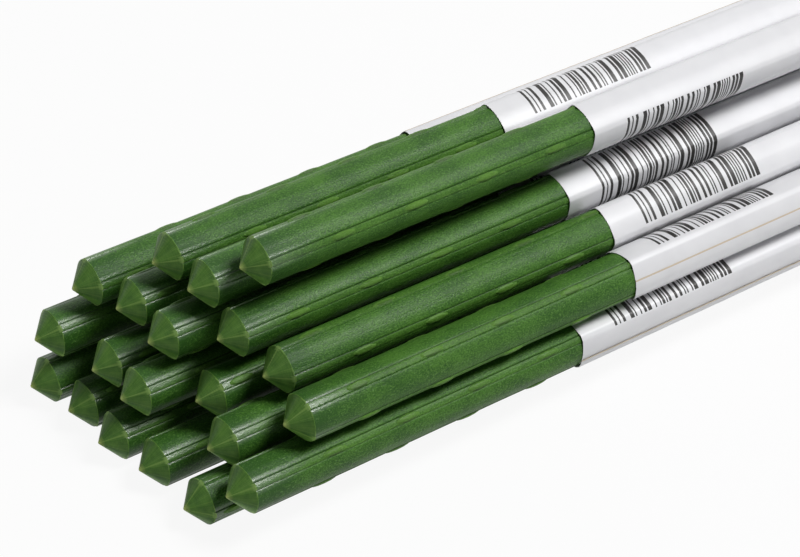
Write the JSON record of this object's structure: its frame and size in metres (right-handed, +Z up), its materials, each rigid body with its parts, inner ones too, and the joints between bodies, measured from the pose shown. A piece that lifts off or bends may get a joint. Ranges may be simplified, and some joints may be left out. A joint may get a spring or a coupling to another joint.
{
  "type": "stack of plant support stakes",
  "caption": "Stack of straight garden stakes, each a steel tube in a ribbed green plastic coat with a blunt conical point and a rounded top, drawn out one by one.",
  "frame": {"origin": "on the floor under the middle of the stack's box", "axes": "+X along the stakes from the points to the tops, +Z up, -Y towards the side that the picture shows"},
  "size_m": [0.6326, 0.0534, 0.0401],
  "materials": {
    "coat_plastic": "semi-gloss green polyethylene",
    "point_plastic": "satin olive green moulded plastic",
    "tube_steel": "bare drawn steel",
    "label_film": "white printed film"
  },
  "bodies": {
    "stake_01": {"stake_01_tube": "tube_steel", "stake_01_coat": "coat_plastic", "stake_01_point": "point_plastic"},
    "stake_02": {"stake_02_tube": "tube_steel", "stake_02_coat": "coat_plastic", "stake_02_point": "point_plastic"},
    "stake_03": {"stake_03_tube": "tube_steel", "stake_03_coat": "coat_plastic", "stake_03_point": "point_plastic"},
    "stake_04": {"stake_04_tube": "tube_steel", "stake_04_coat": "coat_plastic", "stake_04_point": "point_plastic"},
    "stake_05": {"stake_05_tube": "tube_steel", "stake_05_coat": "coat_plastic", "stake_05_point": "point_plastic"},
    "stake_06": {"stake_06_tube": "tube_steel", "stake_06_coat": "coat_plastic", "stake_06_point": "point_plastic"},
    "stake_07": {"stake_07_tube": "tube_steel", "stake_07_coat": "coat_plastic", "stake_07_point": "point_plastic"},
    "stake_08": {"stake_08_tube": "tube_steel", "stake_08_coat": "coat_plastic", "stake_08_point": "point_plastic"},
    "stake_09": {"stake_09_tube": "tube_steel", "stake_09_coat": "coat_plastic", "stake_09_point": "point_plastic"},
    "stake_10": {"stake_10_tube": "tube_steel", "stake_10_coat": "coat_plastic", "stake_10_point": "point_plastic"},
    "stake_11": {"stake_11_tube": "tube_steel", "stake_11_coat": "coat_plastic", "stake_11_point": "point_plastic"},
    "stake_12": {"stake_12_tube": "tube_steel", "stake_12_coat": "coat_plastic", "stake_12_point": "point_plastic"},
    "stake_13": {"stake_13_tube": "tube_steel", "stake_13_coat": "coat_plastic", "stake_13_point": "point_plastic"},
    "stake_14": {"stake_14_tube": "tube_steel", "stake_14_coat": "coat_plastic", "stake_14_point": "point_plastic"},
    "stake_15": {"stake_15_tube": "tube_steel", "stake_15_coat": "coat_plastic", "stake_15_point": "point_plastic"},
    "stake_16": {"stake_16_tube": "tube_steel", "stake_16_coat": "coat_plastic", "stake_16_point": "point_plastic"},
    "stake_17": {"stake_17_tube": "tube_steel", "stake_17_coat": "coat_plastic", "stake_17_point": "point_plastic"},
    "stake_18": {"stake_18_tube": "tube_steel", "stake_18_coat": "coat_plastic", "stake_18_point": "point_plastic"},
    "stake_19": {"stake_19_tube": "tube_steel", "stake_19_coat": "coat_plastic", "stake_19_point": "point_plastic"},
    "stake_20": {"stake_20_tube": "tube_steel", "stake_20_coat": "coat_plastic", "stake_20_point": "point_plastic"}
  },
  "joints": [
    {"name": "stake_01_draw", "type": "slide", "parent": "stake_03", "child": "stake_01", "axis": [1, 0, 0], "range_m": [0, 0.66]},
    {"name": "stake_02_draw", "type": "slide", "parent": "stake_03", "child": "stake_02", "axis": [1, 0, 0], "range_m": [0, 0.66]},
    {"name": "stake_04_draw", "type": "slide", "parent": "stake_03", "child": "stake_04", "axis": [1, 0, 0], "range_m": [0, 0.66]},
    {"name": "stake_05_draw", "type": "slide", "parent": "stake_03", "child": "stake_05", "axis": [1, 0, 0], "range_m": [0, 0.66]},
    {"name": "stake_06_draw", "type": "slide", "parent": "stake_03", "child": "stake_06", "axis": [1, 0, 0], "range_m": [0, 0.66]},
    {"name": "stake_07_draw", "type": "slide", "parent": "stake_03", "child": "stake_07", "axis": [1, 0, 0], "range_m": [0, 0.66]},
    {"name": "stake_08_draw", "type": "slide", "parent": "stake_03", "child": "stake_08", "axis": [1, 0, 0], "range_m": [0, 0.66]},
    {"name": "stake_09_draw", "type": "slide", "parent": "stake_03", "child": "stake_09", "axis": [1, 0, 0], "range_m": [0, 0.66]},
    {"name": "stake_10_draw", "type": "slide", "parent": "stake_03", "child": "stake_10", "axis": [1, 0, 0], "range_m": [0, 0.66]},
    {"name": "stake_11_draw", "type": "slide", "parent": "stake_03", "child": "stake_11", "axis": [1, 0, 0], "range_m": [0, 0.66]},
    {"name": "stake_12_draw", "type": "slide", "parent": "stake_03", "child": "stake_12", "axis": [1, 0, 0], "range_m": [0, 0.66]},
    {"name": "stake_13_draw", "type": "slide", "parent": "stake_03", "child": "stake_13", "axis": [1, 0, 0], "range_m": [0, 0.66]},
    {"name": "stake_14_draw", "type": "slide", "parent": "stake_03", "child": "stake_14", "axis": [1, 0, 0], "range_m": [0, 0.66]},
    {"name": "stake_15_draw", "type": "slide", "parent": "stake_03", "child": "stake_15", "axis": [1, 0, 0], "range_m": [0, 0.66]},
    {"name": "stake_16_draw", "type": "slide", "parent": "stake_03", "child": "stake_16", "axis": [1, 0, 0], "range_m": [0, 0.66]},
    {"name": "stake_17_draw", "type": "slide", "parent": "stake_03", "child": "stake_17", "axis": [1, 0, 0], "range_m": [0, 0.66]},
    {"name": "stake_18_draw", "type": "slide", "parent": "stake_03", "child": "stake_18", "axis": [1, 0, 0], "range_m": [0, 0.66]},
    {"name": "stake_19_draw", "type": "slide", "parent": "stake_03", "child": "stake_19", "axis": [1, 0, 0], "range_m": [0, 0.66]},
    {"name": "stake_20_draw", "type": "slide", "parent": "stake_03", "child": "stake_20", "axis": [1, 0, 0], "range_m": [0, 0.66]}
  ]
}
